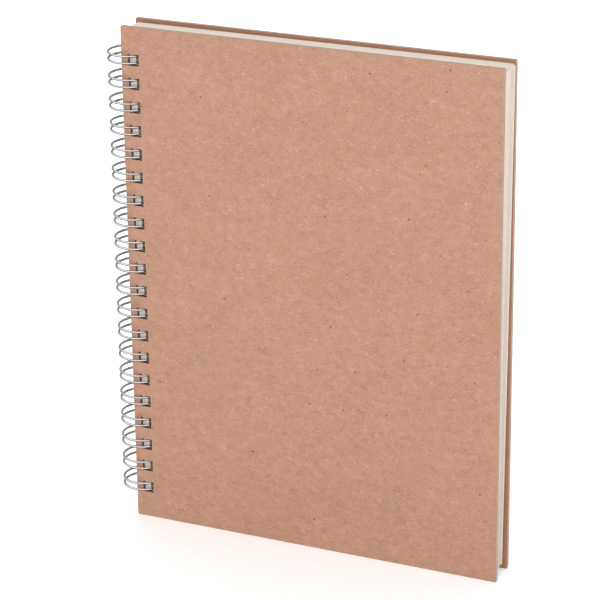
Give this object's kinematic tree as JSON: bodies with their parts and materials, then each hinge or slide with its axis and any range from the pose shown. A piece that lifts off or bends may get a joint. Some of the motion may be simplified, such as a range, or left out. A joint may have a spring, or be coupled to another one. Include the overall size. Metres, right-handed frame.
{
  "type": "sketchbook",
  "caption": "Wire-bound sketchbook with kraft board covers and separate cream leaves that turn on one twin-loop wire.",
  "frame": {"origin": "under the middle of the closed book's box, on the surface that the two boards stand on", "axes": "+Z is the book's height, +X runs from the bound edge to the fore-edge, and the front cover faces -Y"},
  "size_m": [0.1474, 0.0158, 0.1844],
  "materials": {
    "kraft_board": "matt recycled kraft board with flecks",
    "cream_paper": "matt uncoated",
    "silver_wire": "bright plated, satin"
  },
  "bodies": {
    "back": {"back_cover": "kraft_board", "binding_wire": "silver_wire"},
    "leaf_40": {"leaf_40": "cream_paper"},
    "leaf_39": {"leaf_39": "cream_paper"},
    "leaf_38": {"leaf_38": "cream_paper"},
    "leaf_37": {"leaf_37": "cream_paper"},
    "leaf_36": {"leaf_36": "cream_paper"},
    "leaf_35": {"leaf_35": "cream_paper"},
    "leaf_34": {"leaf_34": "cream_paper"},
    "leaf_33": {"leaf_33": "cream_paper"},
    "leaf_32": {"leaf_32": "cream_paper"},
    "leaf_31": {"leaf_31": "cream_paper"},
    "leaf_30": {"leaf_30": "cream_paper"},
    "leaf_29": {"leaf_29": "cream_paper"},
    "leaf_28": {"leaf_28": "cream_paper"},
    "leaf_27": {"leaf_27": "cream_paper"},
    "leaf_26": {"leaf_26": "cream_paper"},
    "leaf_25": {"leaf_25": "cream_paper"},
    "leaf_24": {"leaf_24": "cream_paper"},
    "leaf_23": {"leaf_23": "cream_paper"},
    "leaf_22": {"leaf_22": "cream_paper"},
    "leaf_21": {"leaf_21": "cream_paper"},
    "leaf_20": {"leaf_20": "cream_paper"},
    "leaf_19": {"leaf_19": "cream_paper"},
    "leaf_18": {"leaf_18": "cream_paper"},
    "leaf_17": {"leaf_17": "cream_paper"},
    "leaf_16": {"leaf_16": "cream_paper"},
    "leaf_15": {"leaf_15": "cream_paper"},
    "leaf_14": {"leaf_14": "cream_paper"},
    "leaf_13": {"leaf_13": "cream_paper"},
    "leaf_12": {"leaf_12": "cream_paper"},
    "leaf_11": {"leaf_11": "cream_paper"},
    "leaf_10": {"leaf_10": "cream_paper"},
    "leaf_09": {"leaf_09": "cream_paper"},
    "leaf_08": {"leaf_08": "cream_paper"},
    "leaf_07": {"leaf_07": "cream_paper"},
    "leaf_06": {"leaf_06": "cream_paper"},
    "leaf_05": {"leaf_05": "cream_paper"},
    "leaf_04": {"leaf_04": "cream_paper"},
    "leaf_03": {"leaf_03": "cream_paper"},
    "leaf_02": {"leaf_02": "cream_paper"},
    "leaf_01": {"leaf_01": "cream_paper"},
    "front_cover": {"front_cover": "kraft_board"}
  },
  "joints": [
    {"name": "turn_leaf_40", "type": "hinge", "parent": "back", "child": "leaf_40", "pos_m": [-0.06576, 0, 0], "axis": [0, 0, -1], "range_deg": [0, 180]},
    {"name": "turn_leaf_39", "type": "hinge", "parent": "leaf_40", "child": "leaf_39", "pos_m": [-0.06576, 0, 0], "axis": [0, 0, -1], "range_deg": [0, 180]},
    {"name": "turn_leaf_38", "type": "hinge", "parent": "leaf_39", "child": "leaf_38", "pos_m": [-0.06576, 0, 0], "axis": [0, 0, -1], "range_deg": [0, 180]},
    {"name": "turn_leaf_37", "type": "hinge", "parent": "leaf_38", "child": "leaf_37", "pos_m": [-0.06576, 0, 0], "axis": [0, 0, -1], "range_deg": [0, 180]},
    {"name": "turn_leaf_36", "type": "hinge", "parent": "leaf_37", "child": "leaf_36", "pos_m": [-0.06576, 0, 0], "axis": [0, 0, -1], "range_deg": [0, 180]},
    {"name": "turn_leaf_35", "type": "hinge", "parent": "leaf_36", "child": "leaf_35", "pos_m": [-0.06576, 0, 0], "axis": [0, 0, -1], "range_deg": [0, 180]},
    {"name": "turn_leaf_34", "type": "hinge", "parent": "leaf_35", "child": "leaf_34", "pos_m": [-0.06576, 0, 0], "axis": [0, 0, -1], "range_deg": [0, 180]},
    {"name": "turn_leaf_33", "type": "hinge", "parent": "leaf_34", "child": "leaf_33", "pos_m": [-0.06576, 0, 0], "axis": [0, 0, -1], "range_deg": [0, 180]},
    {"name": "turn_leaf_32", "type": "hinge", "parent": "leaf_33", "child": "leaf_32", "pos_m": [-0.06576, 0, 0], "axis": [0, 0, -1], "range_deg": [0, 180]},
    {"name": "turn_leaf_31", "type": "hinge", "parent": "leaf_32", "child": "leaf_31", "pos_m": [-0.06576, 0, 0], "axis": [0, 0, -1], "range_deg": [0, 180]},
    {"name": "turn_leaf_30", "type": "hinge", "parent": "leaf_31", "child": "leaf_30", "pos_m": [-0.06576, 0, 0], "axis": [0, 0, -1], "range_deg": [0, 180]},
    {"name": "turn_leaf_29", "type": "hinge", "parent": "leaf_30", "child": "leaf_29", "pos_m": [-0.06576, 0, 0], "axis": [0, 0, -1], "range_deg": [0, 180]},
    {"name": "turn_leaf_28", "type": "hinge", "parent": "leaf_29", "child": "leaf_28", "pos_m": [-0.06576, 0, 0], "axis": [0, 0, -1], "range_deg": [0, 180]},
    {"name": "turn_leaf_27", "type": "hinge", "parent": "leaf_28", "child": "leaf_27", "pos_m": [-0.06576, 0, 0], "axis": [0, 0, -1], "range_deg": [0, 180]},
    {"name": "turn_leaf_26", "type": "hinge", "parent": "leaf_27", "child": "leaf_26", "pos_m": [-0.06576, 0, 0], "axis": [0, 0, -1], "range_deg": [0, 180]},
    {"name": "turn_leaf_25", "type": "hinge", "parent": "leaf_26", "child": "leaf_25", "pos_m": [-0.06576, 0, 0], "axis": [0, 0, -1], "range_deg": [0, 180]},
    {"name": "turn_leaf_24", "type": "hinge", "parent": "leaf_25", "child": "leaf_24", "pos_m": [-0.06576, 0, 0], "axis": [0, 0, -1], "range_deg": [0, 180]},
    {"name": "turn_leaf_23", "type": "hinge", "parent": "leaf_24", "child": "leaf_23", "pos_m": [-0.06576, 0, 0], "axis": [0, 0, -1], "range_deg": [0, 180]},
    {"name": "turn_leaf_22", "type": "hinge", "parent": "leaf_23", "child": "leaf_22", "pos_m": [-0.06576, 0, 0], "axis": [0, 0, -1], "range_deg": [0, 180]},
    {"name": "turn_leaf_21", "type": "hinge", "parent": "leaf_22", "child": "leaf_21", "pos_m": [-0.06576, 0, 0], "axis": [0, 0, -1], "range_deg": [0, 180]},
    {"name": "turn_leaf_20", "type": "hinge", "parent": "leaf_21", "child": "leaf_20", "pos_m": [-0.06576, 0, 0], "axis": [0, 0, -1], "range_deg": [0, 180]},
    {"name": "turn_leaf_19", "type": "hinge", "parent": "leaf_20", "child": "leaf_19", "pos_m": [-0.06576, 0, 0], "axis": [0, 0, -1], "range_deg": [0, 180]},
    {"name": "turn_leaf_18", "type": "hinge", "parent": "leaf_19", "child": "leaf_18", "pos_m": [-0.06576, 0, 0], "axis": [0, 0, -1], "range_deg": [0, 180]},
    {"name": "turn_leaf_17", "type": "hinge", "parent": "leaf_18", "child": "leaf_17", "pos_m": [-0.06576, 0, 0], "axis": [0, 0, -1], "range_deg": [0, 180]},
    {"name": "turn_leaf_16", "type": "hinge", "parent": "leaf_17", "child": "leaf_16", "pos_m": [-0.06576, 0, 0], "axis": [0, 0, -1], "range_deg": [0, 180]},
    {"name": "turn_leaf_15", "type": "hinge", "parent": "leaf_16", "child": "leaf_15", "pos_m": [-0.06576, 0, 0], "axis": [0, 0, -1], "range_deg": [0, 180]},
    {"name": "turn_leaf_14", "type": "hinge", "parent": "leaf_15", "child": "leaf_14", "pos_m": [-0.06576, 0, 0], "axis": [0, 0, -1], "range_deg": [0, 180]},
    {"name": "turn_leaf_13", "type": "hinge", "parent": "leaf_14", "child": "leaf_13", "pos_m": [-0.06576, 0, 0], "axis": [0, 0, -1], "range_deg": [0, 180]},
    {"name": "turn_leaf_12", "type": "hinge", "parent": "leaf_13", "child": "leaf_12", "pos_m": [-0.06576, 0, 0], "axis": [0, 0, -1], "range_deg": [0, 180]},
    {"name": "turn_leaf_11", "type": "hinge", "parent": "leaf_12", "child": "leaf_11", "pos_m": [-0.06576, 0, 0], "axis": [0, 0, -1], "range_deg": [0, 180]},
    {"name": "turn_leaf_10", "type": "hinge", "parent": "leaf_11", "child": "leaf_10", "pos_m": [-0.06576, 0, 0], "axis": [0, 0, -1], "range_deg": [0, 180]},
    {"name": "turn_leaf_09", "type": "hinge", "parent": "leaf_10", "child": "leaf_09", "pos_m": [-0.06576, 0, 0], "axis": [0, 0, -1], "range_deg": [0, 180]},
    {"name": "turn_leaf_08", "type": "hinge", "parent": "leaf_09", "child": "leaf_08", "pos_m": [-0.06576, 0, 0], "axis": [0, 0, -1], "range_deg": [0, 180]},
    {"name": "turn_leaf_07", "type": "hinge", "parent": "leaf_08", "child": "leaf_07", "pos_m": [-0.06576, 0, 0], "axis": [0, 0, -1], "range_deg": [0, 180]},
    {"name": "turn_leaf_06", "type": "hinge", "parent": "leaf_07", "child": "leaf_06", "pos_m": [-0.06576, 0, 0], "axis": [0, 0, -1], "range_deg": [0, 180]},
    {"name": "turn_leaf_05", "type": "hinge", "parent": "leaf_06", "child": "leaf_05", "pos_m": [-0.06576, 0, 0], "axis": [0, 0, -1], "range_deg": [0, 180]},
    {"name": "turn_leaf_04", "type": "hinge", "parent": "leaf_05", "child": "leaf_04", "pos_m": [-0.06576, 0, 0], "axis": [0, 0, -1], "range_deg": [0, 180]},
    {"name": "turn_leaf_03", "type": "hinge", "parent": "leaf_04", "child": "leaf_03", "pos_m": [-0.06576, 0, 0], "axis": [0, 0, -1], "range_deg": [0, 180]},
    {"name": "turn_leaf_02", "type": "hinge", "parent": "leaf_03", "child": "leaf_02", "pos_m": [-0.06576, 0, 0], "axis": [0, 0, -1], "range_deg": [0, 180]},
    {"name": "turn_leaf_01", "type": "hinge", "parent": "leaf_02", "child": "leaf_01", "pos_m": [-0.06576, 0, 0], "axis": [0, 0, -1], "range_deg": [0, 180]},
    {"name": "turn_front_cover", "type": "hinge", "parent": "leaf_01", "child": "front_cover", "pos_m": [-0.06576, 0, 0], "axis": [0, 0, -1], "range_deg": [0, 180]}
  ]
}
